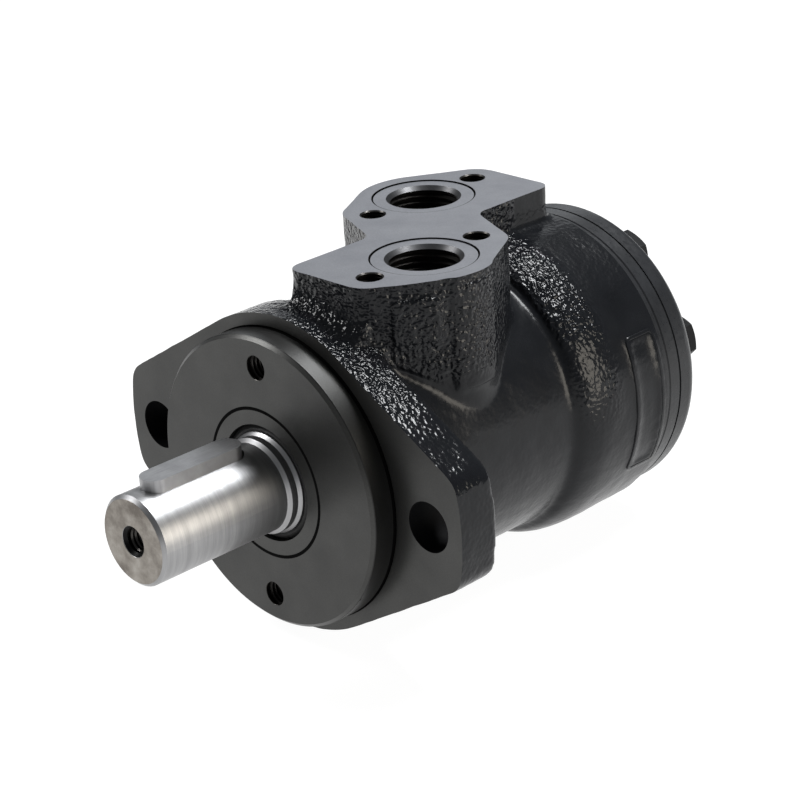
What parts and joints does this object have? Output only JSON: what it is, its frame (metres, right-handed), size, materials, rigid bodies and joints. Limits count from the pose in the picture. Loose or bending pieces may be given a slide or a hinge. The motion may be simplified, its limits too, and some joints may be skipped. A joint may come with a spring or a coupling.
{
  "type": "orbital hydraulic motor",
  "caption": "Low-speed orbital hydraulic motor with an oval two-bolt flange, keyed output shaft, side ports on a raised block and a bolted rotor set at the rear.",
  "frame": {"origin": "centre of the mounting face, where the shaft axis crosses the front face of the flange", "axes": "+Y from the flange to the rear cover along the shaft axis, the shaft points to -Y; +Z towards the port face; +X to the right seen from the shaft end"},
  "size_m": [0.13, 0.1795, 0.101],
  "materials": {
    "cast_paint": "gloss",
    "stack_paint": "satin",
    "phosphated_steel": "satin",
    "ground_steel": "brushed",
    "key_steel": "satin",
    "dull_steel": "matte",
    "nitrile": "matte",
    "black_bolt": "satin",
    "washer_steel": "satin",
    "copper_washer": "satin",
    "plug_steel": "satin"
  },
  "bodies": {
    "root": {"housing": "cast_paint", "seal_carrier": "phosphated_steel", "carrier_o_ring": "nitrile", "dust_seal": "nitrile", "shaft_seal": "nitrile", "backup_ring": "dull_steel", "thrust_race_front": "ground_steel", "port_plate": "ground_steel", "housing_seal": "nitrile", "gear_ring": "stack_paint", "cover_seal": "nitrile", "end_cover": "stack_paint", "bolt_washers": "washer_steel", "cover_bolts": "black_bolt", "drain_washer": "copper_washer", "drain_plug": "plug_steel"},
    "shaft": {"output_shaft": "ground_steel", "shaft_key": "key_steel", "thrust_race_rear": "ground_steel"},
    "thrust_set": {"thrust_cage": "dull_steel", "thrust_needles": "ground_steel"},
    "orbit": {"drive_spacer": "dull_steel"},
    "star": {"rotor": "ground_steel"},
    "link": {"drive_link": "dull_steel"},
    "roller_body_1": {"roller_1": "ground_steel"},
    "roller_body_2": {"roller_2": "ground_steel"},
    "roller_body_3": {"roller_3": "ground_steel"},
    "roller_body_4": {"roller_4": "ground_steel"},
    "roller_body_5": {"roller_5": "ground_steel"},
    "roller_body_6": {"roller_6": "ground_steel"},
    "roller_body_7": {"roller_7": "ground_steel"}
  },
  "joints": [
    {"name": "shaft_spin", "type": "hinge", "parent": "root", "child": "shaft", "pos_m": [0, 0, 0], "axis": [0, 1, 0], "continuous": true},
    {"name": "thrust_spin", "type": "hinge", "parent": "root", "child": "thrust_set", "pos_m": [0, 0, 0], "axis": [0, 1, 0], "continuous": true},
    {"name": "rotor_orbit", "type": "hinge", "parent": "root", "child": "orbit", "pos_m": [0, 0, 0], "axis": [0, 1, 0], "continuous": true},
    {"name": "rotor_spin", "type": "hinge", "parent": "orbit", "child": "star", "pos_m": [0, 0.10995, 0.0025], "axis": [0, 1, 0], "continuous": true},
    {"name": "link_spin", "type": "hinge", "parent": "orbit", "child": "link", "pos_m": [0, 0.064, 0], "axis": [0, 0.9985, 0.0543], "continuous": true},
    {"name": "roller_1_spin", "type": "hinge", "parent": "root", "child": "roller_body_1", "pos_m": [0, 0.10995, 0.026], "axis": [0, 1, 0], "continuous": true},
    {"name": "roller_2_spin", "type": "hinge", "parent": "root", "child": "roller_body_2", "pos_m": [-0.02033, 0.10995, 0.01621], "axis": [0, 1, 0], "continuous": true},
    {"name": "roller_3_spin", "type": "hinge", "parent": "root", "child": "roller_body_3", "pos_m": [-0.02535, 0.10995, -0.00579], "axis": [0, 1, 0], "continuous": true},
    {"name": "roller_4_spin", "type": "hinge", "parent": "root", "child": "roller_body_4", "pos_m": [-0.01128, 0.10995, -0.02343], "axis": [0, 1, 0], "continuous": true},
    {"name": "roller_5_spin", "type": "hinge", "parent": "root", "child": "roller_body_5", "pos_m": [0.01128, 0.10995, -0.02343], "axis": [0, 1, 0], "continuous": true},
    {"name": "roller_6_spin", "type": "hinge", "parent": "root", "child": "roller_body_6", "pos_m": [0.02535, 0.10995, -0.00579], "axis": [0, 1, 0], "continuous": true},
    {"name": "roller_7_spin", "type": "hinge", "parent": "root", "child": "roller_body_7", "pos_m": [0.02033, 0.10995, 0.01621], "axis": [0, 1, 0], "continuous": true}
  ],
  "couplings": [
    {"joint": "thrust_spin", "follows": "shaft_spin", "ratio": 0.5},
    {"joint": "rotor_orbit", "follows": "shaft_spin", "ratio": -6},
    {"joint": "rotor_spin", "follows": "shaft_spin", "ratio": 7},
    {"joint": "link_spin", "follows": "shaft_spin", "ratio": 7}
  ]
}
